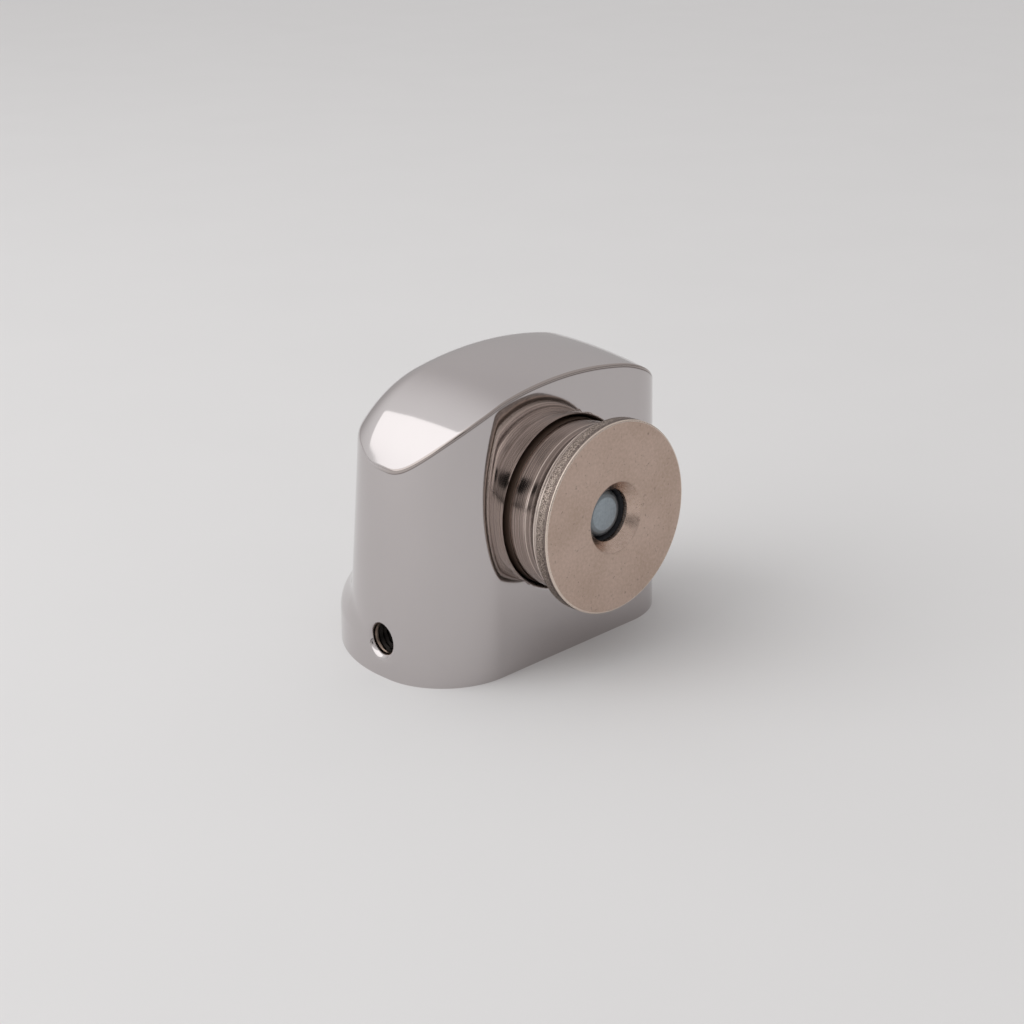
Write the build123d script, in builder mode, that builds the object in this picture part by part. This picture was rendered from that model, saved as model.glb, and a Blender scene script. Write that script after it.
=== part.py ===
import os
from math import cos, radians, tan

from build123d import *

# A floor-fixed magnetic door stop. A hooded zinc casting with a flat front holds a turned
# steel magnet holder on a rubber buffer; the round steel keeper, which belongs on the door,
# sits on the magnet. A round stud on the floor fills the socket under the casting and is
# held by a grub screw from the left side.
# Millimetres. X to the right seen from the front, Y from front to rear, Z up.
# The origin is on the floor, on the axis of the stud.

# Casting: the plan of its foot, which is a round-cornered front and an elliptical rear
half_width = 25.3
front_depth = 13.0
foot_rear_depth = 24.6
corner_radius = 11.5
side_draft_deg = 1.3
foot_height = 9.4
foot_round = 4.9
foot_run_in = 1.0

# Casting: the hood above the foot, whose back leans forward
hood_rear_depth = 21.7
back_lean_deg = 11.0
wall = 3.0

# Casting: the top, an arch that is carried along a side curve
crown_height = 42.0
arch_crown_radius = 59.0
arch_crown_angle = 11.2
arch_side_radius = 17.9
arch_side_angle = 52.1
arch_flank = 8.0
top_rise_deg = 11.6
top_run_in = 2.0
top_rise_radius = 84.0
brow_start_deg = 1.0
brow_radius = 6.0
back_slope_deg = 62.0
crease_round = 0.4

# Magnet bore in the flat front
axis_height = 22.9
bore_radius = 12.9
bore_depth = 12.0
bore_floor = 3.0
bore_chamfer = 0.45

# Magnet holder, turned from steel bar
holder_front = 7.1
flange_radius = 13.3
flange_width = 1.0
flare_width = 1.4
neck_radius = 12.3
neck_width = 1.9
holder_radius = 11.8
mark_width = 0.25
holder_edge = 0.5

# Ring magnet and centre pin
magnet_radius = 9.5
magnet_thickness = 6.0
magnet_fit = 0.05
magnet_edge = 0.3
pin_head_radius = 3.5
pin_head_chamfer = 0.4
pin_head_clearance = 0.5
pin_radius = 2.5
pin_hole_clearance = 0.15
pin_tail = 1.5

# Keeper plate
keeper_radius = 14.0
keeper_thickness = 2.2
keeper_edge = 0.25
keeper_hole_radius = 3.77
keeper_countersink_radius = 5.25

# Rubber buffer, washer and nut behind the holder
buffer_thickness = 3.6
buffer_side_gap = 0.4
buffer_hole_gap = 2.0
buffer_edge = 0.5
washer_radius = 5.0
washer_thickness = 1.0
nut_across_flats = 8.0
nut_thickness = 4.0

# Floor stud in its socket
stud_radius = 9.8
stud_height = 7.2
stud_edge = 0.4
groove_depth = 1.0
groove_clearance = 0.3
stud_hole_radius = 2.3
stud_countersink_radius = 4.4
socket_clearance = 0.2
socket_headroom = 0.4
socket_wall = 2.6
socket_roof = 2.2

# Grub screw in its tapped hole
grub_height = 5.6
grub_radius = 2.5
grub_length = 8.0
grub_point = 0.8
grub_mouth_chamfer = 0.4
grub_boss_wall = 2.0
grub_hex_flats = 2.5
grub_hex_depth = 2.2

# Derived places
front = -front_depth
holder_back = front + bore_depth - buffer_thickness
pocket_floor = front - holder_front + magnet_thickness
bore_end = front + bore_depth + bore_floor
socket_radius = stud_radius + socket_clearance
socket_depth = stud_height + socket_headroom
socket_boss_height = socket_depth + socket_roof
pin_end = bore_end + washer_thickness + nut_thickness + pin_tail
loft_height = crown_height + corner_radius
back_slope_length = hood_rear_depth / cos(radians(back_slope_deg))
magnet_axis = Plane((0, 0, axis_height), x_dir=(1, 0, 0), z_dir=(0, 1, 0))
grub_axis = Plane((0, 0, grub_height), x_dir=(0, 1, 0), z_dir=(-1, 0, 0))


def hood_outline(inset, z):
    """Plan of the hood at height z, drawn in by inset and by its drafts."""
    side = half_width - inset - z * tan(radians(side_draft_deg))
    corner = corner_radius - inset - z * tan(radians(side_draft_deg))
    rear = hood_rear_depth - inset - z * tan(radians(back_lean_deg))
    face = front + inset
    with BuildSketch(Plane.XY.offset(z)) as outline:
        with BuildLine():
            Line((-side + corner, face), (side - corner, face))
            CenterArc((side - corner, face + corner), corner, -90, 90)
            Line((side, face + corner), (side, 0))
            EllipticalCenterArc((0, 0), side, rear, arc_size=180)
            Line((-side, 0), (-side, face + corner))
            CenterArc((-side + corner, face + corner), corner, 180, 90)
        make_face()
    return outline.sketch


def foot_outline(inset, z):
    """Rear half of the foot at height z, which starts inside the hood."""
    side = half_width - inset - z * tan(radians(side_draft_deg))
    rear = foot_rear_depth - inset - z * tan(radians(side_draft_deg))
    with BuildSketch(Plane.XY.offset(z)) as outline:
        with BuildLine():
            EllipticalCenterArc((0, 0), side, rear, arc_size=180)
            Polyline((-side, 0), (-side, -foot_run_in), (side, -foot_run_in), (side, 0))
        make_face()
    return outline.sketch


def foot_form(inset):
    """The foot behind the hood, with its upper edge rounded over."""
    with BuildPart() as foot:
        add(foot_outline(inset, 0))
        add(foot_outline(inset, foot_height - inset))
        loft(ruled=True)
        rim = foot.faces().sort_by(Axis.Z)[-1].edges().sort_by(Axis.Y)[1:]
        fillet(rim, foot_round - inset)
    return foot.part


def arch_section(inset):
    """Everything under the arch, drawn in the plane where the side curve starts."""
    crown = crown_height - inset - top_run_in * tan(radians(top_rise_deg))
    side_radius = arch_side_radius - inset
    with BuildSketch(Plane.XZ.offset(front_depth + top_run_in)) as section:
        with BuildLine():
            middle = JernArc((0, crown), (1, 0), arch_crown_radius, -arch_crown_angle)
            side = JernArc(middle @ 1, middle % 1, side_radius, -arch_side_angle)
            flank = Line(side @ 1, side @ 1 + (side % 1) * arch_flank)
            Polyline(flank @ 1, ((flank @ 1).X, -loft_height), (0, -loft_height), (0, crown))
        make_face()
        mirror(about=Plane.YZ)
    return section.sketch


def side_curve(inset):
    """The crown's path: up from the front, over the brow and down the sloping back."""
    crown = crown_height - inset
    slope = tan(radians(top_rise_deg))
    turn_over = brow_start_deg + back_slope_deg
    with BuildLine(Plane.YZ) as path:
        Line((front - top_run_in, crown - top_run_in * slope), (front, crown))
        rise = JernArc((front, crown), (1, slope), top_rise_radius, brow_start_deg - top_rise_deg)
        brow = JernArc(rise @ 1, rise % 1, brow_radius, -turn_over)
        Line(brow @ 1, brow @ 1 + (brow % 1) * back_slope_length)
    return path.line


def under_top(inset):
    """Everything below the top surface: the arch carried along the side curve."""
    with BuildPart() as below:
        add(arch_section(inset))
        sweep(path=side_curve(inset), normal=(0, 1, 0))
    return below.part


def hood_form(inset):
    """The hood: drafted walls all round, cut off by the top surface."""
    with BuildPart() as hood:
        add(hood_outline(inset, 0))
        add(hood_outline(inset, loft_height))
        loft(ruled=True)
        add(under_top(inset), mode=Mode.INTERSECT)
    return hood.part


def turned(profile):
    """A piece turned about the magnet axis from points (radius, distance behind the face)."""
    with BuildPart() as body:
        with BuildSketch(Plane((0, front, axis_height), x_dir=(1, 0, 0), z_dir=(0, 0, -1))):
            with BuildLine():
                Polyline(*[(radius, -behind) for radius, behind in profile], close=True)
            make_face()
        revolve(axis=Axis((0, front, axis_height), (0, 1, 0)))
    return body.part


# Casting
# Its core leaves a wall all round the rear, the block behind the flat front, the socket
# for the stud and a boss round the tapped hole. The crease round the top is one smooth loop,
# so the rounding of its front arc runs on all the way round.
with BuildPart() as core:
    add(hood_form(wall))
    add(foot_form(wall))
    with BuildSketch(Plane.XY):
        with Locations((0, bore_end)):
            Rectangle(2 * half_width, 2 * half_width, align=(Align.CENTER, Align.MIN))
    extrude(amount=loft_height, mode=Mode.INTERSECT)
    with BuildSketch(Plane.XY):
        Circle(socket_radius + socket_wall)
    extrude(amount=socket_boss_height, mode=Mode.SUBTRACT)
    with BuildSketch(grub_axis):
        Circle(grub_radius + grub_boss_wall)
    extrude(amount=half_width, mode=Mode.SUBTRACT)

with BuildPart() as housing:
    add(hood_form(0))
    crease = housing.edges().filter_by(Plane.XZ).group_by(Axis.Y)[0].sort_by(Axis.Z)[-1]
    fillet(crease, crease_round)
    add(foot_form(0))
    add(core.part, mode=Mode.SUBTRACT)
    with BuildSketch(magnet_axis.offset(front)):
        Circle(bore_radius)
    extrude(amount=bore_depth, mode=Mode.SUBTRACT)
    with BuildSketch(magnet_axis.offset(front)):
        Circle(pin_radius + pin_hole_clearance)
    extrude(amount=bore_end - front, mode=Mode.SUBTRACT)
    with BuildSketch(Plane.XY):
        Circle(socket_radius)
    extrude(amount=socket_depth, mode=Mode.SUBTRACT)
    with BuildSketch(grub_axis):
        Circle(grub_radius)
    extrude(amount=half_width, mode=Mode.SUBTRACT)
    with Locations(magnet_axis.offset(front)):
        Cone(
            bore_radius + bore_chamfer,
            bore_radius,
            bore_chamfer,
            align=(Align.CENTER, Align.CENTER, Align.MIN),
            mode=Mode.SUBTRACT,
        )
    grub_mouth = half_width - grub_height * tan(radians(side_draft_deg))
    with Locations(grub_axis.offset(grub_mouth - grub_mouth_chamfer)):
        Cone(
            grub_radius,
            grub_radius + 2 * grub_mouth_chamfer,
            2 * grub_mouth_chamfer,
            align=(Align.CENTER, Align.CENTER, Align.MIN),
            mode=Mode.SUBTRACT,
        )

# Magnet holder, a steel pot turned from bar: flange under the keeper, flare, neck with a
# tool mark, then the plain barrel that enters the bore
flange_back = flange_width - holder_front
flare_back = flange_back + flare_width
neck_back = flare_back + neck_width
barrel_back = holder_back - front
with BuildPart() as magnet_holder:
    add(
        turned(
            [
                (0, -holder_front),
                (flange_radius, -holder_front),
                (flange_radius, flange_back),
                (neck_radius, flare_back),
                (neck_radius, neck_back - mark_width),
                (neck_radius - mark_width, neck_back),
                (holder_radius, neck_back),
                (holder_radius, barrel_back - holder_edge),
                (holder_radius - holder_edge, barrel_back),
                (0, barrel_back),
            ]
        )
    )
    with BuildSketch(magnet_axis.offset(front - holder_front)):
        Circle(magnet_radius + magnet_fit)
    extrude(amount=magnet_thickness, mode=Mode.SUBTRACT)
    with BuildSketch(magnet_axis.offset(pocket_floor)):
        Circle(pin_radius + pin_hole_clearance)
    extrude(amount=holder_back - pocket_floor, mode=Mode.SUBTRACT)

# Ring magnet in the pocket of the holder, flush with its flange
with BuildPart() as ring_magnet:
    with BuildSketch(magnet_axis.offset(front - holder_front)):
        Circle(magnet_radius)
        Circle(pin_head_radius + pin_head_clearance, mode=Mode.SUBTRACT)
    extrude(amount=magnet_thickness)
    chamfer(ring_magnet.edges().filter_by(GeomType.CIRCLE), magnet_edge)

# Centre pin: a round head through the magnet, and a shank that ties the holder down
# through the buffer and the floor of the bore
with BuildPart() as centre_pin:
    add(
        turned(
            [
                (0, -holder_front),
                (pin_head_radius - pin_head_chamfer, -holder_front),
                (pin_head_radius, pin_head_chamfer - holder_front),
                (pin_head_radius, pocket_floor - front),
                (pin_radius, pocket_floor - front),
                (pin_radius, pin_end - front - pin_head_chamfer),
                (pin_radius - pin_head_chamfer, pin_end - front),
                (0, pin_end - front),
            ]
        )
    )

# Keeper, a steel disc with a countersunk hole for the screw that holds it on a door
keeper_front = -holder_front - keeper_thickness
countersink_depth = keeper_countersink_radius - keeper_hole_radius
with BuildPart() as keeper_plate:
    add(
        turned(
            [
                (keeper_countersink_radius, keeper_front),
                (keeper_radius - keeper_edge, keeper_front),
                (keeper_radius, keeper_front + keeper_edge),
                (keeper_radius, -holder_front - keeper_edge),
                (keeper_radius - keeper_edge, -holder_front),
                (keeper_hole_radius, -holder_front),
                (keeper_hole_radius, keeper_front + countersink_depth),
            ]
        )
    )

# Rubber buffer between the holder and the floor of the bore
with BuildPart() as rubber_buffer:
    with BuildSketch(magnet_axis.offset(holder_back)):
        Circle(bore_radius - buffer_side_gap)
        Circle(pin_radius + buffer_hole_gap, mode=Mode.SUBTRACT)
    extrude(amount=buffer_thickness)
    chamfer(rubber_buffer.edges().filter_by(GeomType.CIRCLE), buffer_edge)

# Washer and nut on the pin, inside the casting
with BuildPart() as pin_washer:
    with BuildSketch(magnet_axis.offset(bore_end)):
        Circle(washer_radius)
        Circle(pin_radius + pin_hole_clearance, mode=Mode.SUBTRACT)
    extrude(amount=washer_thickness)

with BuildPart() as pin_nut:
    with BuildSketch(magnet_axis.offset(bore_end + washer_thickness)):
        RegularPolygon(nut_across_flats / 2, 6, major_radius=False)
        Circle(pin_radius, mode=Mode.SUBTRACT)
    extrude(amount=nut_thickness)

# Floor stud: a round steel boss with a groove for the grub screw and a countersunk hole
# for the screw that fastens it to the floor
groove_start = grub_height - grub_radius - groove_clearance
with BuildPart() as floor_stud:
    with BuildSketch(Plane.XZ):
        with BuildLine():
            Polyline(
                (stud_hole_radius, 0),
                (stud_radius - stud_edge, 0),
                (stud_radius, stud_edge),
                (stud_radius, groove_start),
                (stud_radius - groove_depth, groove_start + groove_depth),
                (stud_radius - groove_depth, stud_height - stud_edge),
                (stud_radius - groove_depth - stud_edge, stud_height),
                (stud_countersink_radius, stud_height),
                (stud_hole_radius, stud_height - stud_countersink_radius + stud_hole_radius),
                close=True,
            )
        make_face()
    revolve(axis=Axis.Z)

# Grub screw with a hexagon socket, its point in the groove of the stud
grub_tip = stud_radius - groove_depth
with BuildPart() as grub_screw:
    with BuildSketch(grub_axis.offset(grub_tip)):
        Circle(grub_radius)
    extrude(amount=grub_length)
    chamfer(grub_screw.edges().filter_by(GeomType.CIRCLE).sort_by(Axis.X)[-1], grub_point)
    with BuildSketch(grub_axis.offset(grub_tip + grub_length)):
        RegularPolygon(grub_hex_flats / 2, 6, major_radius=False)
    extrude(amount=-grub_hex_depth, mode=Mode.SUBTRACT)

pieces = {
    "housing": housing,
    "magnet_holder": magnet_holder,
    "ring_magnet": ring_magnet,
    "centre_pin": centre_pin,
    "keeper_plate": keeper_plate,
    "rubber_buffer": rubber_buffer,
    "pin_washer": pin_washer,
    "pin_nut": pin_nut,
    "floor_stud": floor_stud,
    "grub_screw": grub_screw,
}

os.makedirs("parts", exist_ok=True)
for name, piece in pieces.items():
    piece.part.label = name
    export_step(piece.part, f"parts/{name}.step")
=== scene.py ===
import math
from collections import namedtuple

import bmesh
import bpy
import numpy as np
from mathutils import Matrix


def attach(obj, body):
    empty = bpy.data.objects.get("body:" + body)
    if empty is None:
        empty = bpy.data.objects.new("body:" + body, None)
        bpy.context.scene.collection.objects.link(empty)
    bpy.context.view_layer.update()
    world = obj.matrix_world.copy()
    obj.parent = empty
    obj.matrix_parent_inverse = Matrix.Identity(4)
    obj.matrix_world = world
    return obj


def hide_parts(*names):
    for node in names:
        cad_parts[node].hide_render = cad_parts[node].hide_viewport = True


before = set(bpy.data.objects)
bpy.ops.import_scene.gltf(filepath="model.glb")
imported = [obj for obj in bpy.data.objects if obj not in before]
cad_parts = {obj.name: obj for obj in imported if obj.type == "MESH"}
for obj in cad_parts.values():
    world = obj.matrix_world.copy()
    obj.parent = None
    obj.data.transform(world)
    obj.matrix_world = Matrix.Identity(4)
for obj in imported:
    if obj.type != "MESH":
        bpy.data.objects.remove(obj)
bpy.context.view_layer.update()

# The casting: one zinc die casting with a hood, a flat front, a rounded foot behind, a bore for
# the magnet and a tapped hole in its left side. It is ground, polished to a mirror and plated.
# Lengths are millimetres here and metres in every mesh.
MM = 0.001
half_width = 25.3
front_y = -13.0
corner_radius = 11.5
side_draft = math.tan(math.radians(1.3))
hood_rear = 21.7
back_lean = math.tan(math.radians(11.0))
foot_rear = 24.596
foot_height = 9.4
foot_round = 4.9
crown_height = 42.0
crown_pole = np.array([0.0, 2.0])
arch_crown_radius = 59.0
arch_crown_angle = math.radians(11.2)
arch_side_radius = 17.9
arch_end_angle = math.radians(11.2 + 52.1)
rise_start = math.radians(11.6)
rise_end = math.radians(1.0)
rise_radius = 84.0
brow_radius = 6.0
back_slope = math.radians(62.0)
crease_softens = (4.0, 15.0)
wall = 3.0
core_below_floor = 0.5
axis_z = 22.9
bore_x, bore_z = -0.25, 23.05
bore_radius = 12.6
bore_depth = 12.0
bore_floor_end = 15.0
bore_edge = 0.4
bore_cone = 0.9
pin_hole_radius = 2.65
socket_radius = 10.0
socket_depth = 7.6
socket_boss_radius = 12.6
socket_boss_height = 9.8
grub_z = 5.6
grub_radius = 2.5
grub_mouth_radius = 2.25
grub_boss_radius = 4.5
grub_edge = 0.9
m5_pitch = 0.8


def arch_drop(x, inset):
    """How far the arch lies below its crown at a distance x from the middle."""
    x = np.abs(x)
    radius = arch_side_radius - inset
    x1 = arch_crown_radius * math.sin(arch_crown_angle)
    z1 = arch_crown_radius * (math.cos(arch_crown_angle) - 1)
    xc = x1 - radius * math.sin(arch_crown_angle)
    zc = z1 - radius * math.cos(arch_crown_angle)
    x2 = xc + radius * math.sin(arch_end_angle)
    z2 = zc + radius * math.cos(arch_end_angle)
    middle = np.sqrt(arch_crown_radius**2 - np.minimum(x, x1) ** 2) - arch_crown_radius
    side = zc + np.sqrt(radius**2 - np.clip(x - xc, 0, radius * math.sin(arch_end_angle)) ** 2)
    flank = z2 - (x - x2) * math.tan(arch_end_angle)
    return np.where(x < x1, middle, np.where(x < x2, side, flank))


def side_rise(y):
    """Height of the crown's path over its start at the flat front, at a place y."""
    yr = front_y + rise_radius * math.sin(rise_start)
    zr = -rise_radius * math.cos(rise_start)
    y1 = yr - rise_radius * math.sin(rise_end)
    z1 = zr + rise_radius * math.cos(rise_end)
    rise = zr + np.sqrt(np.maximum(rise_radius**2 - (np.minimum(y, y1) - yr) ** 2, 0))
    yb = y1 + brow_radius * math.sin(rise_end)
    zb = z1 - brow_radius * math.cos(rise_end)
    y2 = yb + brow_radius * math.sin(back_slope)
    z2 = zb + brow_radius * math.cos(back_slope)
    brow = zb + np.sqrt(np.maximum(brow_radius**2 - (np.clip(y, y1, y2) - yb) ** 2, 0))
    back = z2 - (y - y2) * math.tan(back_slope)
    return np.where(y < y1, rise, np.where(y < y2, brow, back))


def top_height(plan, inset):
    """Height of the top surface over points of the plan."""
    return crown_height - inset + arch_drop(plan[:, 0], inset) + side_rise(plan[:, 1])


def hood_plan(z, inset, turns):
    """The hood's outline at height z: the rear ellipse at the given turns, then the rest."""
    side = half_width - inset - z * side_draft
    corner = corner_radius - inset - z * side_draft
    rear = hood_rear - inset - z * back_lean
    face = front_y + inset
    corner_x, corner_y = side - corner, face + corner
    quarter = np.linspace(0, math.pi / 2, 41)
    across = np.linspace(-1, 1, 57)[1:-1]
    forward = np.array([0.25, 0.5, 0.75])
    return np.vstack([
        np.c_[side * np.cos(turns), rear * np.sin(turns)],
        np.c_[np.full(3, -side), corner_y * forward],
        np.c_[-corner_x - corner * np.cos(quarter), corner_y - corner * np.sin(quarter)],
        np.c_[across * corner_x, np.full(len(across), face)],
        np.c_[corner_x + corner * np.sin(quarter), corner_y - corner * np.cos(quarter)],
        np.c_[np.full(3, side), corner_y * forward[::-1]],
    ])


def fade(value, start, end):
    """A smooth step from 0 to 1."""
    t = np.clip((value - start) / (end - start), 0, 1)
    return t * t * (3 - 2 * t)


def unit(vectors):
    """The same directions, each of length 1."""
    return vectors / np.linalg.norm(vectors, axis=1)[:, None]


def bend_over(a, b, c, d, count):
    """Rings that turn smoothly from a to d, along the handles b and c."""
    for k in np.linspace(0, 1, count, endpoint=False):
        yield (1 - k) ** 3 * a + 3 * k * (1 - k) ** 2 * b + 3 * k * k * (1 - k) * c + k**3 * d


def skin(inset, rear_columns, rows, melt, crisp, soft):
    """Closed grid of the casting's outer form, or of its core where it is drawn in.

    The foot melts into the hood over the length melt; the crease is crisp in front, soft behind.
    The second result is 1 on the rings of the crease and 0 elsewhere.
    """
    foot_rows, shoulder_rows, melt_rows, wall_rows, crease_rows, top_rows = rows
    bend = foot_round - inset
    draft = math.atan(side_draft)
    around = np.linspace(0, math.pi, rear_columns)
    foot_side, foot_back = half_width - inset, foot_rear - inset
    base = np.c_[foot_side * np.cos(around), foot_back * np.sin(around)]
    out = unit(np.c_[foot_back * np.cos(around), foot_side * np.sin(around)])
    centre_z = foot_height - inset - bend
    centre_in = centre_z * side_draft + bend / math.cos(draft)

    def shoulder(phi):
        """Plan and height of the foot's rounded shoulder, at an angle over its widest line."""
        plan = base - out * (centre_in - bend * np.cos(phi))[:, None]
        return plan, centre_z + bend * np.sin(phi)

    def on_ellipse(plan, z):
        """The shoulder's points as shares of the hood's rear ellipse at their height."""
        side = half_width - inset - z * side_draft
        rear = hood_rear - inset - z * back_lean
        return plan[:, 0] / side, plan[:, 1] / rear

    low = np.full(rear_columns, draft)
    high = np.full(rear_columns, math.pi / 2)
    for _ in range(40):
        middle = (low + high) / 2
        x, y = on_ellipse(*shoulder(middle))
        outside = x**2 + y**2 > 1
        low = np.where(outside, middle, low)
        high = np.where(outside, high, middle)
    meet = low
    plan, meet_z = shoulder(meet)
    x, y = on_ellipse(plan, meet_z)
    turns = np.arctan2(y, x)
    turns[0], turns[-1] = 0, math.pi
    side_z = meet_z[0]

    floor_plan = hood_plan(0, inset, turns)
    lean = hood_plan(1, inset, turns) - floor_plan
    columns = len(floor_plan)

    def on_wall(z):
        """A ring on the hood's drafted wall, at one height or at one for each column."""
        z = np.broadcast_to(z, columns)
        return np.c_[floor_plan + lean * z[:, None], z]

    crease_z = np.full(columns, crown_height)
    for _ in range(60):
        crease_z = top_height(on_wall(crease_z), inset)
    crease = on_wall(crease_z)

    def on_top(share):
        """A ring on the top, moved by a share of the way from the crease to the pole."""
        share = np.broadcast_to(share, columns)
        plan = crease[:, :2] + (crown_pole - crease[:, :2]) * share[:, None]
        return np.c_[plan, top_height(plan, inset)]

    reach = crisp + (soft - crisp) * fade(crease[:, 1], *crease_softens)
    shares = np.linspace(0, 0.6, 400)
    run = np.linalg.norm([on_top(s) - crease for s in shares], axis=2)
    share = np.array([np.interp(reach[i], run[:, i], shares) for i in range(columns)])

    lower_z = crease_z - reach
    lower, upper = on_wall(lower_z), on_top(share)
    up_wall = unit(np.c_[lean, np.ones(columns)])
    along_top = unit(on_top(share + 0.002) - upper)
    handle = 0.35 * np.linalg.norm(upper - lower, axis=1)[:, None]

    melt_start = 0.15
    bent = np.minimum(0.75 * (meet - draft), melt / bend)
    leave = meet - bent
    join_z = np.full(columns, side_z + melt_start)
    join_z[:rear_columns] = meet_z + melt_start + bent * bend
    foot_end, join = on_wall(side_z), on_wall(join_z)
    foot_end[:rear_columns] = np.column_stack(shoulder(leave))
    up_foot = up_wall.copy()
    up_foot[:rear_columns] = np.c_[-out * np.sin(leave)[:, None], np.cos(leave)]
    grip = 0.4 * np.linalg.norm(join - foot_end, axis=1)[:, None]

    grid = []
    for z in np.linspace(0, side_z, foot_rows, endpoint=False):
        ring = on_wall(z)
        ring[:rear_columns] = np.c_[base - out * z * side_draft, np.full(rear_columns, z)]
        grid.append(ring)
    for k in np.linspace(0, 1, shoulder_rows, endpoint=False):
        ring = on_wall(side_z)
        ring[:rear_columns] = np.column_stack(shoulder(draft + (leave - draft) * k))
        grid.append(ring)
    grid.extend(bend_over(foot_end, foot_end + up_foot * grip, join - up_wall * grip, join, melt_rows))
    for k in np.linspace(0, 1, wall_rows, endpoint=False):
        grid.append(on_wall(join_z + (lower_z - join_z) * k))
    first = len(grid)
    grid.extend(bend_over(lower, lower + up_wall * handle, upper - along_top * handle, upper, crease_rows))
    last = len(grid)
    for k in np.linspace(0, 0.985, top_rows):
        grid.append(on_top(share + (1 - share) * k))
    line = np.zeros((len(grid), columns))
    line[first:last] = 1
    return np.array(grid), line


def mesh_piece(name, points, faces, line=None):
    """A new object from points in millimetres, welded, with its faces turned outwards."""
    mesh = bpy.data.meshes.new(name)
    mesh.from_pydata([tuple(p) for p in np.asarray(points) * MM], [], faces)
    if line is not None:
        mesh.attributes.new("crease", "FLOAT", "POINT").data.foreach_set("value", line.ravel())
    form = bmesh.new()
    form.from_mesh(mesh)
    bmesh.ops.remove_doubles(form, verts=form.verts, dist=1e-7)
    bmesh.ops.dissolve_degenerate(form, edges=form.edges, dist=1e-7)
    bmesh.ops.recalc_face_normals(form, faces=form.faces)
    form.to_mesh(mesh)
    form.free()
    piece = bpy.data.objects.new(name, mesh)
    bpy.context.scene.collection.objects.link(piece)
    return piece


def between_rings(steps, rings, columns):
    """Faces over a number of steps from ring to ring; after the last ring comes the first."""
    faces = []
    for i in range(steps):
        low, high = i * columns, (i + 1) % rings * columns
        for j in range(columns):
            k = (j + 1) % columns
            faces.append((low + j, low + k, high + k, high + j))
    return faces


def closed_grid(name, grid, line):
    """Rings of points, one over the other, closed with a face at either end."""
    rings, columns = grid.shape[:2]
    ends = [tuple(reversed(range(columns))), tuple(range((rings - 1) * columns, rings * columns))]
    return mesh_piece(name, grid.reshape(-1, 3), ends + between_rings(rings - 1, rings, columns), line)


to_rear = Matrix.Rotation(-math.pi / 2, 4, "X")
magnet_axis = Matrix.Translation((0, front_y * MM, axis_z * MM)) @ to_rear
bore_axis = Matrix.Translation((bore_x * MM, 0, (bore_z - axis_z) * MM)) @ magnet_axis
grub_axis = Matrix.Translation((0, 0, grub_z * MM)) @ Matrix.Rotation(-math.pi / 2, 4, "Y")
floor_axis = Matrix.Identity(4)

Thread = namedtuple("Thread", "first last pitch depth radius")


def turned(name, profile, axis, segments=256, thread=None):
    """A lathe-turned piece: profile points are (radius, place along the axis), closed.

    A thread is cut into the stretches of its own radius, from its first place to its last.
    """
    points = []
    for i, (r, d) in enumerate(profile):
        points.append((r, d))
        next_r, next_d = profile[(i + 1) % len(profile)]
        if thread and abs(r - thread.radius) < 1e-6 and abs(next_r - r) < 1e-6:
            low, high = max(thread.first, min(d, next_d)), min(thread.last, max(d, next_d))
            if high - low > thread.pitch:
                places = np.linspace(low, high, int((high - low) / thread.pitch * 10))
                points.extend((r, place) for place in (places if next_d > d else places[::-1]))
    points = np.array(points)
    angle = np.linspace(0, 2 * math.pi, segments, endpoint=False)
    r = np.repeat(points[:, :1], segments, axis=1)
    d = np.repeat(points[:, 1:], segments, axis=1)
    if thread:
        past_first, to_last = (d - thread.first) / thread.pitch, (thread.last - d) / thread.pitch
        ridge = np.abs((past_first - angle / (2 * math.pi)) % 1 * 2 - 1)
        ends = np.clip(past_first, 0, 1) * np.clip(to_last, 0, 1)
        threaded = np.isclose(r, thread.radius) & (past_first > 0) & (to_last > 0)
        r = np.where(threaded, r - thread.depth * ridge * ends, r)
    grid = np.stack([r * np.cos(angle), r * np.sin(angle), d], axis=2)
    piece = mesh_piece(name, grid.reshape(-1, 3), between_rings(len(points), len(points), segments))
    piece.data.transform(axis)
    return piece


def bar(name, radius, start, end, axis, segments):
    """A plain round bar from one place on an axis to another; with 6 segments it is hexagonal."""
    return turned(name, [(0, start), (radius, start), (radius, end), (0, end)], axis, segments)


def cut(piece, cutter):
    """Cuts one closed mesh out of another and leaves only the result."""
    step = piece.modifiers.new("cut", "BOOLEAN")
    step.operation = "DIFFERENCE"
    step.solver = "EXACT"
    step.object = cutter
    depsgraph = bpy.context.evaluated_depsgraph_get()
    result = bpy.data.meshes.new_from_object(piece.evaluated_get(depsgraph))
    piece.modifiers.clear()
    piece.data = result
    bpy.data.objects.remove(cutter)


def smooth(piece, limit=32):
    """Smooth faces with sharp edges where the surface turns by more than the limit."""
    piece.data.shade_smooth()
    piece.data.set_sharp_from_angle(angle=math.radians(limit))


def rolled_edge(radius, edge, mouth, inward):
    """Profile of a hole's edge, rounded by the polishing wheel, from outside the mouth inwards."""
    first_turn, run_out = 0.3, 0.5
    points = [
        (radius + edge * (1 - math.sin(t)), mouth + inward * edge * (1 - math.cos(t)))
        for t in np.linspace(first_turn, math.pi / 2, 9)
    ]
    widest, start = points[0]
    return [(widest + run_out, start - inward * run_out * math.tan(first_turn)), *points]


outer_rows, core_rows = (6, 10, 8, 56, 10, 56), (3, 4, 8, 16, 4, 14)
casting = closed_grid("casting", *skin(0.0, 181, outer_rows, melt=2.4, crisp=0.35, soft=5.5))
core = closed_grid("core", *skin(wall, 61, core_rows, melt=0.8, crisp=0.3, soft=2.0))
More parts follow.
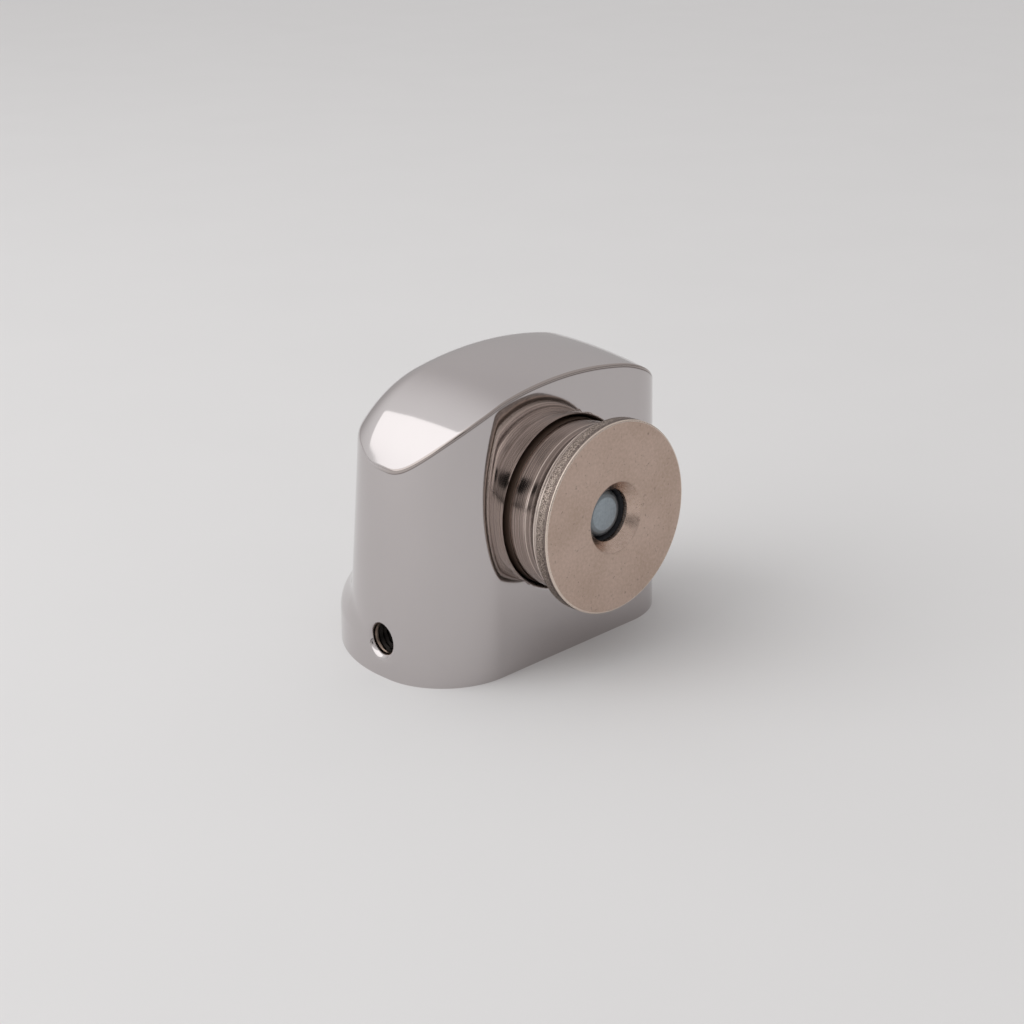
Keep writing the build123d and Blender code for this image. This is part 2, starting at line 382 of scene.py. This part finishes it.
# How far the cutters reach past what they cut.
past_casting, past_side, past_floor, past_mouth = 60, 40, 5, 1
cut(core, bar("solid_front", past_casting, -past_casting, bore_floor_end, magnet_axis, 32))
cut(core, bar("socket_boss", socket_boss_radius, -past_floor, socket_boss_height, floor_axis, 96))
cut(core, bar("grub_boss", grub_boss_radius, 0, past_side, grub_axis, 64))
core.data.transform(Matrix.Translation((0, 0, -core_below_floor * MM)))
cut(casting, core)
cut(casting, turned("bore", [
    (0, -past_mouth),
    (bore_radius + bore_cone, -past_mouth),
    *rolled_edge(bore_radius, bore_edge, 0, 1),
    (bore_radius, bore_depth),
    (0, bore_depth),
], bore_axis))
cut(casting, bar("pin_hole", pin_hole_radius, bore_depth - 2, bore_floor_end + 1, magnet_axis, 64))
cut(casting, bar("socket", socket_radius, -past_mouth, socket_depth, floor_axis, 128))
mouth_x = half_width - grub_z * side_draft
tap_start, tap_end = 5, mouth_x - 1
thread_start, thread_depth = 9.0, 0.4
cut(casting, turned("side_hole", [
    (0, mouth_x + past_mouth),
    (grub_radius + 1, mouth_x + past_mouth),
    *rolled_edge(grub_mouth_radius, grub_edge, mouth_x, -1),
    (grub_mouth_radius, tap_end),
    (grub_radius, tap_end),
    (grub_radius, tap_start),
    (0, tap_start),
], grub_axis, 128, Thread(thread_start, tap_end, m5_pitch, thread_depth, grub_radius)))
smooth(casting)


class Signal:
    """A socket of a finish that takes part in sums and products."""

    def __init__(self, finish, socket):
        self.finish = finish
        self.socket = socket

    def _math(self, operation, first, second):
        return self.finish.node("ShaderNodeMath", {"operation": operation}, {0: first, 1: second})

    def __add__(self, other):
        return self._math("ADD", self, other)

    def __radd__(self, other):
        return self._math("ADD", other, self)

    def __sub__(self, other):
        return self._math("SUBTRACT", self, other)

    def __rsub__(self, other):
        return self._math("SUBTRACT", other, self)

    def __mul__(self, other):
        return self._math("MULTIPLY", self, other)

    def __rmul__(self, other):
        return self._math("MULTIPLY", other, self)

    def __abs__(self):
        return self._math("ABSOLUTE", self, 0.0)


class Finish:
    """A finish of the door stop: one shader, and what varies over the surface as expressions."""

    def __init__(self, name, **constants):
        self.material = bpy.data.materials.new(name)
        self.material.use_nodes = True
        self.tree = self.material.node_tree
        self.shader = self.tree.nodes["Principled BSDF"]
        for socket, value in constants.items():
            self.shader.inputs[socket.replace("_", " ")].default_value = value

    def node(self, kind, settings, sockets, output=0):
        """A node of one kind, with its settings and the values or links of its sockets."""
        made = self.tree.nodes.new(kind)
        for key, value in settings.items():
            setattr(made, key, value)
        for key, value in sockets.items():
            if isinstance(value, Signal):
                self.tree.links.new(value.socket, made.inputs[key])
            else:
                made.inputs[key].default_value = value
        return Signal(self, made.outputs[output])

    def vector(self, operation, first, second, output=0):
        return self.node("ShaderNodeVectorMath", {"operation": operation}, {0: first, 1: second}, output)

    def place(self):
        return self.node("ShaderNodeTexCoord", {}, {}, "Object")

    def place_on(self, axis):
        return self.node("ShaderNodeSeparateXYZ", {}, {0: self.place()}, axis)

    def stretched(self, x, y, z):
        return self.vector("MULTIPLY", self.place(), (x, y, z))

    def noise(self, vector, scale, detail=2.0, roughness=0.5):
        sockets = {"Vector": vector, "Scale": scale, "Detail": detail, "Roughness": roughness}
        return self.node("ShaderNodeTexNoise", {}, sockets)

    def blend(self, factor, *colours):
        first, second = (c if isinstance(c, Signal) else (*c, 1) for c in colours)
        return self.node("ShaderNodeMix", {"data_type": "RGBA"}, {0: factor, 6: first, 7: second}, 2)

    def step(self, value, low, high):
        """0 at the low value, 1 at the high one, smooth between."""
        sockets = {0: value, 1: low, 2: high, 3: 0.0, 4: 1.0}
        return self.node("ShaderNodeMapRange", {"interpolation_type": "SMOOTHSTEP"}, sockets)

    def edge(self, length, low, high):
        """The same step where the low and the high value are millimetres."""
        return self.step(length, low * MM, high * MM)

    def from_axis(self, x, y, z, along):
        """Distance from an axis through a point, which runs in the given direction."""
        here = self.vector("SUBTRACT", self.place(), (x * MM, y * MM, z * MM))
        across = self.vector("MULTIPLY", here, tuple(1.0 - a for a in along))
        return self.node("ShaderNodeVectorMath", {"operation": "LENGTH"}, {0: across}, 1)

    def relief(self, height, strength, depth):
        """A bump whose depth is in millimetres."""
        sockets = {"Strength": strength, "Distance": depth * MM, "Height": height}
        return self.node("ShaderNodeBump", {}, sockets)

    def feed(self, **signals):
        for socket, signal in signals.items():
            self.tree.links.new(signal.socket, self.shader.inputs[socket.replace("_", " ")])


def dress(piece, finish):
    """Gives a piece its finish and lets it ride on the door stop."""
    piece.data.materials.clear()
    piece.data.materials.append(finish.material)
    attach(piece, "root")


plate_wiped, plate_bright = (0.54, 0.507, 0.505), (0.585, 0.55, 0.548)
# Painted reflection in the polished crease: a pale tan band between two dark lines.
crease_painted_reflection, crease_painted_dark_line = (0.44, 0.39, 0.37), (0.10, 0.07, 0.06)
# Brown painted inside the bore: painted shade for the gap round the pot.
bore_shade_brown = (0.30, 0.21, 0.15)
# Inside the tapped hole: a painted shadow deep in, and a painted lit brown thread near the mouth.
painted_lit_thread_tone, tap_shadow = (0.42, 0.32, 0.26), (0.015, 0.013, 0.012)
lengthwise, sideways = (0, 1, 0), (1, 0, 0)
# Where the masks of the plate start and end, in millimetres along Y or X.
bore_end, front_end = (5, 4), (1.5, -5)
tap_floor, tap_lip, thread_light = (-8, -9), (-24.4, -24.25), (-23.5, -24.1)

chrome = Finish("bright_plate")
wipe = chrome.noise(chrome.stretched(1, 1, 0.5), 60, 4, 0.6)
peel = chrome.noise(chrome.place(), 220, 1)
on_x, on_y = chrome.place_on("X"), chrome.place_on("Y")
# Inside the bore the plate is painted a rough, hardly metallic brown, which stands in for the shade of the
# gap.
from_bore = chrome.from_axis(bore_x, 0, bore_z, lengthwise)
in_bore = chrome.edge(from_bore, bore_radius + 0.2, bore_radius + 0.15)
in_bore = in_bore * chrome.edge(on_y, front_y + 0.2, front_y + 0.35) * chrome.edge(on_y, *bore_end)
# Painted shadow and painted light inside the tapped hole, by place along X.
from_tap = chrome.from_axis(0, 0, grub_z, sideways)
in_tap = chrome.edge(from_tap, grub_radius + 0.12, grub_radius + 0.06)
in_tap = in_tap * chrome.edge(on_x, *tap_floor) * chrome.edge(on_x, *tap_lip)
lit_thread = chrome.edge(on_x, *thread_light)
# On the crease's rings the plate carries a painted reflection, a pale tan band between two dark lines,
# fading out towards the back.
crease = chrome.node("ShaderNodeAttribute", {"attribute_name": "crease"}, {}, "Fac")
in_front = chrome.edge(on_y, *front_end)
painted_dark_line_mask = chrome.step(crease, 0.55, 0.85) * chrome.step(crease, 1.0, 0.9) * in_front
plate = chrome.blend(wipe, plate_wiped, plate_bright)
lined = chrome.blend(chrome.step(crease, 0.9, 1.0) * in_front, plate, crease_painted_reflection)
lined = chrome.blend(painted_dark_line_mask * 0.8, lined, crease_painted_dark_line)
lined = chrome.blend(in_bore, lined, bore_shade_brown)
chrome.feed(
    Base_Color=chrome.blend(in_tap, lined, chrome.blend(lit_thread, tap_shadow, painted_lit_thread_tone)),
    Metallic=1 - 0.8 * in_bore,
    Roughness=0.05 + 0.05 * wipe + 0.5 * in_bore + 0.22 * in_tap,
    Normal=chrome.relief(peel, 0.04, 0.2),
)
dress(casting, chrome)
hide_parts("housing")

# The magnet holder: a steel pot turned from bar, with a flange under the keeper, a flare, a
# neck with a tool mark and a plain barrel in the bore. Nickel plate over fine turning marks.
holder_front = -7.1
flange_radius = 13.3
neck_radius = 12.3
neck_end = 1.0
barrel_radius = 11.8
holder_back = 8.4
magnet_radius = 9.5
pocket_radius = magnet_radius + 0.05
pocket_floor = -1.1
# Each pair is how far in the tool went, and how far behind the flange's face.
flange_turning = (
    (0, 0), (0, 0.28), (0.07, 0.34), (0, 0.40), (0.05, 0.95), (0.12, 1.0), (0.07, 1.05), (0.2, 1.4),
)
neck_turning = ((-0.2, 1.85), (0, 2.4), (0, 3.42), (0.08, 3.48), (0, 3.56))


def eased(profile, radius, steps):
    """A closed profile whose corners are rounded a little, as on every machined piece."""
    profile = [np.array(p, float) for p in profile]
    rounded = []
    for i, corner in enumerate(profile):
        before, after = profile[i - 1] - corner, profile[(i + 1) % len(profile)] - corner
        before_length, after_length = np.linalg.norm(before), np.linalg.norm(after)
        reach = min(radius, 0.4 * before_length, 0.4 * after_length)
        if corner[0] < 1e-6 or reach < 1e-6:
            rounded.append(tuple(corner))
            continue
        a, b = corner + before / before_length * reach, corner + after / after_length * reach
        for t in np.linspace(0, 1, steps + 1):
            rounded.append(tuple((1 - t) ** 2 * a + 2 * t * (1 - t) * corner + t * t * b))
    return rounded


holder = turned("magnet_pot", eased([
    (pocket_radius, holder_front),
    *((flange_radius - inward, holder_front + behind) for inward, behind in flange_turning),
    *((neck_radius - inward, holder_front + behind) for inward, behind in neck_turning),
    (neck_radius, neck_end),
    (barrel_radius, neck_end + 0.2),
    (barrel_radius, holder_back - 0.5),
    (barrel_radius - 0.5, holder_back),
    (pin_hole_radius, holder_back),
    (pin_hole_radius, pocket_floor),
    (pocket_radius, pocket_floor),
], 0.05, 3), magnet_axis, 320)
smooth(holder)


def lathe_rings(finish, along, pitch, detail=2.0):
    """Fine rings left by a lathe tool: a noise that changes only along one direction."""
    sockets = {"W": along, "Scale": 1 / (pitch * MM), "Detail": detail}
    return finish.node("ShaderNodeTexNoise", {"noise_dimensions": "1D"}, sockets)


nickel_low, nickel_high = (0.24, 0.195, 0.17), (0.72, 0.61, 0.55)
# Painted shade for the neck in the bore; the flange's bright colour is a painted highlight.
flange_painted_highlight, neck_painted_shade = (0.92, 0.81, 0.73), (0.085, 0.055, 0.04)
flare_start, flange_start = (-17.4, -17.8), (-18.9, -19.1)

nickel = Finish("turned_nickel")
behind = nickel.place_on("Y")
fine = lathe_rings(nickel, behind, 0.16, 3.0)
coarse = lathe_rings(nickel, behind, 0.30, 1.0)
cloud = nickel.noise(nickel.place(), 260, 5, 0.6)
# Painted shade: dark, dull brown on the pot from just in front of the bore's mouth backwards.
painted_bore_shade = nickel.edge(behind, front_y - 0.55, front_y - 0.35)
flared = nickel.edge(behind, *flare_start)
on_flange = nickel.edge(behind, *flange_start)
ringed = nickel.step(fine + 0.7 * flared * (coarse - 0.5), 0.36, 0.60)
bright = nickel.blend(cloud * 0.15 + ringed * 0.85, nickel_low, nickel_high)
# A painted highlight makes the flange behind the keeper brighter.
bright = nickel.blend(on_flange * 0.6, bright, flange_painted_highlight)
nickel.feed(
    Base_Color=nickel.blend(painted_bore_shade, bright, neck_painted_shade),
    Metallic=1 - 0.8 * painted_bore_shade,
    Roughness=0.06 + 0.06 * fine + 0.12 * flared + 0.4 * painted_bore_shade,
    Normal=nickel.relief(fine * (0.5 + 0.6 * flared) + coarse * flared, 0.30, 0.07),
)
dress(holder, nickel)
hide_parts("magnet_holder")

# The keeper: a round steel plate for the door, here stuck on the magnet. It is blanked and
# turned on its edge, countersunk, then nickel plated; its face is satin and slightly stained.
keeper_radius = 14.0
keeper_front = -9.3
keeper_back = holder_front
keeper_edge = 0.25
keeper_hole_radius = 3.77
keeper_sink_radius = 5.25
keeper = turned("keeper_disc", eased([
    (keeper_sink_radius, keeper_front),
    (keeper_radius - keeper_edge, keeper_front),
    (keeper_radius - 0.07, keeper_front + 0.07),
    (keeper_radius, keeper_front + keeper_edge),
    (keeper_radius, keeper_back - keeper_edge),
    (keeper_radius - keeper_edge, keeper_back),
    (keeper_hole_radius, keeper_back),
    (keeper_hole_radius, keeper_front + keeper_sink_radius - keeper_hole_radius),
], 0.1, 4), magnet_axis, 360)
smooth(keeper)

face_dull, face_bright, speck_brown = (0.49, 0.37, 0.30), (0.62, 0.48, 0.41), (0.16, 0.13, 0.11)
rim_low, rim_high, rim_shadow = (0.07, 0.052, 0.044), (0.62, 0.52, 0.455), (0.13, 0.10, 0.09)
# Painted highlight on the keeper's front edge; painted shade on its back edge.
back_edge_painted_shade, painted_highlight_tone = (0.17, 0.14, 0.12), (0.74, 0.63, 0.55)
face_edge, rim_dusk, back_edge = (-22.04, -22.1), (-21.3, -21.7), (-20.22, -20.14)

satin = Finish("satin_nickel", Metallic=1.0)
out_from = satin.from_axis(0, 0, axis_z, lengthwise)
back_from = satin.place_on("Y")
rim = satin.edge(out_from, keeper_radius - 0.10, keeper_radius - 0.03)
# A painted highlight along the front edge of the keeper's rim, brighter and a little smoother.
painted_edge_highlight = satin.edge(out_from, keeper_radius - 0.32, keeper_radius - 0.26)
painted_edge_highlight = painted_edge_highlight * satin.edge(back_from, *face_edge)
cone = satin.edge(out_from, keeper_sink_radius - 0.05, keeper_sink_radius - 0.15)
grain = satin.noise(satin.place(), 5200, 3, 0.6)
mottle = satin.noise(satin.place(), 2200, 5, 0.6)
stain = satin.noise(satin.place(), 160, 3, 0.5)
shade = satin.noise(satin.place(), 70, 3, 0.5)
scratch = satin.noise(satin.stretched(1, 0.4, 1), 10500, 2, 0.6)
speck = satin.step(satin.noise(satin.place(), 1900, 3, 0.6), 0.63, 0.72)
circles = lathe_rings(satin, out_from, 0.16)
stained = satin.blend(satin.step(mottle * 0.6 + stain * 0.4, 0.3, 0.7), face_dull, face_bright)
marked = satin.blend(speck * 0.45, stained, speck_brown)
rim_tone = satin.blend(satin.step(scratch, 0.36, 0.66), rim_low, rim_high)
rim_tone = satin.blend(0.6 * satin.edge(back_from, *rim_dusk), rim_tone, rim_shadow)
edged = satin.blend(rim, marked, rim_tone)
# Painted shade on the keeper's back edge, where it meets the pot's flange.
edged = satin.blend(satin.edge(back_from, *back_edge), edged, back_edge_painted_shade)
satin.feed(
    Base_Color=satin.blend(painted_edge_highlight, edged, painted_highlight_tone),
    Roughness=0.30 + 0.10 * shade + 0.08 * mottle - 0.13 * cone - 0.12 * painted_edge_highlight,
    Normal=satin.relief(grain * 0.3 + scratch * rim * 0.5 + circles * cone * 0.4, 0.8, 0.05),
)
dress(keeper, satin)
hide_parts("keeper_plate")

# The ring magnet: hard ferrite, pressed, fired and ground flat. It is glued in the pot's
# pocket, flush with the flange.
magnet_hole_radius = 4.0
magnet = turned("ferrite_ring", eased([
    (magnet_hole_radius, holder_front),
    (magnet_radius, holder_front),
    (magnet_radius, pocket_floor),
    (magnet_hole_radius, pocket_floor),
], 0.3, 3), magnet_axis, 128)
smooth(magnet)

ferrite = Finish("ground_ferrite")
ground = ferrite.noise(ferrite.place(), 2500, 4)
ferrite.feed(
    Base_Color=ferrite.blend(ground, (0.035, 0.035, 0.04), (0.09, 0.09, 0.10)),
    Roughness=0.55 + 0.2 * ground,
    Normal=ferrite.relief(ground, 0.3, 0.1),
)
dress(magnet, ferrite)
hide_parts("ring_magnet")

# The centre pin: a steel pin with a round head, zinc plated, that ties the pot down through
# the buffer and the floor of the bore. Its tail is threaded.
pin_radius = 2.5
pin_head_radius = 3.5
pin_end = 21.5
pin_point = 0.4
# Each pair is a radius of the worn head, and how far behind its face.
pin_crown = ((0, 0), (2.35, 0), (2.85, 0.12), (3.25, 0.4), (pin_head_radius, 0.9))
pin = turned("tie_pin", eased([
    *((radius, holder_front + behind) for radius, behind in pin_crown),
    (pin_head_radius, pocket_floor),
    (pin_radius, pocket_floor),
    (pin_radius, pin_end - pin_point),
    (pin_radius - pin_point, pin_end),
    (0, pin_end),
], 0.08, 3), magnet_axis, 96, Thread(14.0, pin_end - 0.5, m5_pitch, 0.45, pin_radius))
smooth(pin)

# The darker zinc is painted shade on the head's rounded rim.
zinc_low, zinc_high, zinc_rim_shade = (0.24, 0.29, 0.33), (0.52, 0.58, 0.62), (0.18, 0.19, 0.20)
rim_shade_from, head_only = (2.3, 2.5), (-17, -18)

zinc = Finish("zinc_plate", Metallic=0.85)
flake = zinc.noise(zinc.place(), 2600, 5, 0.7)
bloom = zinc.noise(zinc.place(), 500, 3)
head_rim = zinc.edge(zinc.from_axis(0, 0, axis_z, lengthwise), *rim_shade_from)
# Painted shade: the rounded rim of the pin's head is darker.
head_rim_shade = head_rim * zinc.edge(zinc.place_on("Y"), *head_only)
zinc.feed(
    Base_Color=zinc.blend(head_rim_shade * 0.6, zinc.blend(flake, zinc_low, zinc_high), zinc_rim_shade),
    Roughness=0.38 + 0.2 * bloom,
    Normal=zinc.relief(flake, 0.35, 0.08),
)
dress(pin, zinc)
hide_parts("centre_pin")

# The rubber buffer: a moulded ring of black rubber between the pot and the floor of the bore.
# The pin draws the pot tight on it, and it takes the blow of the door.
buffer_radius = 12.2
buffer_hole_radius = 4.5
buffer = turned("buffer_ring", eased([
    (buffer_hole_radius, holder_back),
    (buffer_radius, holder_back),
    (buffer_radius, bore_depth),
    (buffer_hole_radius, bore_depth),
], 0.5, 4), magnet_axis, 128)
smooth(buffer)

rubber = Finish("black_rubber")
bloomed = rubber.noise(rubber.place(), 900, 4)
rubber.feed(
    Base_Color=rubber.blend(bloomed, (0.02, 0.02, 0.02), (0.05, 0.048, 0.046)),
    Roughness=0.7 + 0.2 * bloomed,
    Normal=rubber.relief(bloomed, 0.3, 0.1),
)
dress(buffer, rubber)
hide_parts("rubber_buffer")

# Washer and nut on the pin's tail, and the stud on the floor: plain turned and pressed steel,
# zinc plated like the pin. They are hidden, and kept as the frame has them.
for name in ("pin_washer", "pin_nut", "floor_stud"):
    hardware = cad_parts[name]
    hardware.data.materials.clear()
    hardware.data.materials.append(zinc.material)

# The grub screw: blackened steel with a hexagon socket and a thread, driven in from the left
# until its point sits in the stud's groove.
screw_point, screw_end = 8.8, 16.8
screw_point_radius = 1.7
screw_bevel = 0.3
hexagon_radius = 1.443
hexagon_floor, hexagon_top = 14.6, 17.5
grub = turned("set_screw", eased([
    (0, screw_point),
    (screw_point_radius, screw_point),
    (grub_radius, screw_point + grub_radius - screw_point_radius),
    (grub_radius, screw_end - screw_bevel),
    (grub_radius - screw_bevel, screw_end),
    (0, screw_end),
], 0.08, 3), grub_axis, 96, Thread(9.7, 16.4, m5_pitch, 0.42, grub_radius))
cut(grub, bar("hexagon", hexagon_radius, hexagon_floor, hexagon_top, grub_axis, 6))
smooth(grub)

black = Finish("blackened_steel", Metallic=0.8)
oxide = black.noise(black.place(), 1500, 4)
black.feed(
    Base_Color=black.blend(oxide, (0.03, 0.03, 0.03), (0.10, 0.09, 0.085)),
    Roughness=0.35 + 0.25 * oxide,
    Normal=black.relief(oxide, 0.2, 0.05),
)
dress(grub, black)
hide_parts("grub_screw")

# The stage: a pale floor that runs on for ever, a soft box over the left shoulder and an even
# grey tent all round. The dark place at the camera and the tent's seams are seen in the plate
# and never by the camera.
bpy.ops.mesh.primitive_plane_add(size=6)
floor = bpy.context.object
floor.name = "floor"
paper = Finish("pale_paper", Roughness=0.9)
fibre = paper.noise(paper.place(), 30, 2)
paper.feed(Base_Color=paper.blend(fibre, (0.75, 0.745, 0.745), (0.77, 0.765, 0.765)))
floor.data.materials.append(paper.material)

tent = bpy.data.worlds.new("tent")
bpy.context.scene.world = tent
tent.use_nodes = True


class Tent(Finish):
    """The light of the grey tent, written in the same way as a finish."""

    def __init__(self, world):
        self.tree = world.node_tree
        self.shader = self.tree.nodes["Background"]


sky = Tent(tent)
way = sky.node("ShaderNodeTexCoord", {}, {}, "Generated")
to_lamp, to_camera = (-0.62, 0.42, 0.66), (-0.652, -0.67, 0.355)
tent_light, overhead_light, lamp_light = 0.48, 0.14, 0.37


def towards(x, y, z):
    """How much a direction of the tent points the given way."""
    return sky.vector("DOT_PRODUCT", way, (x, y, z), 1)


up = towards(0, 0, 1)
overhead = sky.step(up, -0.05, 0.6)
glow = sky.step(towards(*to_lamp), 0.35, 1.0)
camera_stand = sky.step(towards(*to_camera), 0.983, 0.993)
facing = sky.step(towards(0, -1, 0), 0.2, 0.5)
horizon = sky.step(abs(up - 0.02), 0.045, 0.02)
seam = sky.step(abs(up - 0.75), 0.03, 0.01)
lit = (1 - 0.95 * camera_stand) * (1 - 0.6 * facing * horizon)
lit = lit * (1 - 0.5 * facing * seam) * (1 - 0.3 * facing * (1 - overhead))
seen = sky.node("ShaderNodeLightPath", {}, {}, "Is Camera Ray")
light = tent_light + overhead_light * overhead + lamp_light * glow
sky.feed(
    Color=sky.blend(glow, (1, 0.975, 0.97), (1, 1, 1)),
    Strength=light * (1 - (1 - lit) * (1 - seen)),
)

box_width, box_depth = 0.63, 0.56
box_place = (-0.406, 0.230, 0.328)
box_lean, box_turn = math.atan2(-0.73, 0.684), math.radians(12)


def soft_box(name, power):
    """A lamp behind white cloth over the left shoulder, its power in watts."""
    lamp = bpy.data.objects.new(name, bpy.data.lights.new(name, "AREA"))
    lamp.data.shape = "RECTANGLE"
    lamp.data.size, lamp.data.size_y = box_width, box_depth
    lamp.data.energy = power
    lamp.location = box_place
    tilt = Matrix.Rotation(box_lean, 3, "Y") @ Matrix.Rotation(box_turn, 3, "Z")
    lamp.rotation_euler = tilt.to_euler()
    bpy.context.scene.collection.objects.link(lamp)
    return lamp


soft_box("left_box", 0.75)
# The second lamp lights the floor and stays out of the plate, whose highlight would clip.
spill = soft_box("left_spill", 1.0)
spill.visible_glossy = False

# The camera stands to the left of the front and a little above, as the photograph's did. Its
# focal length is 2000 pixels of a picture 1024 wide.
azimuth, elevation, roll = (math.radians(a) for a in (-44.214, 20.823, -1.067))
focal_pixels, picture_pixels = 2000, 1024
camera = bpy.data.objects.new("camera", bpy.data.cameras.new("camera"))
bpy.context.scene.collection.objects.link(camera)
bpy.context.scene.camera = camera
camera.data.sensor_width = 36.0
camera.data.lens = focal_pixels / picture_pixels * camera.data.sensor_width
camera.data.clip_start = 0.01
camera.data.clip_end = 20
camera.rotation_mode = "QUATERNION"
swung = Matrix.Rotation(azimuth, 4, "Z")
tipped = Matrix.Rotation(math.pi / 2 - elevation, 4, "X") @ Matrix.Rotation(roll, 4, "Z")
camera.rotation_quaternion = (swung @ tipped).to_quaternion()
camera.location = (-0.19205, -0.19881, 0.12311)

bpy.context.scene.view_settings.view_transform = "Standard"
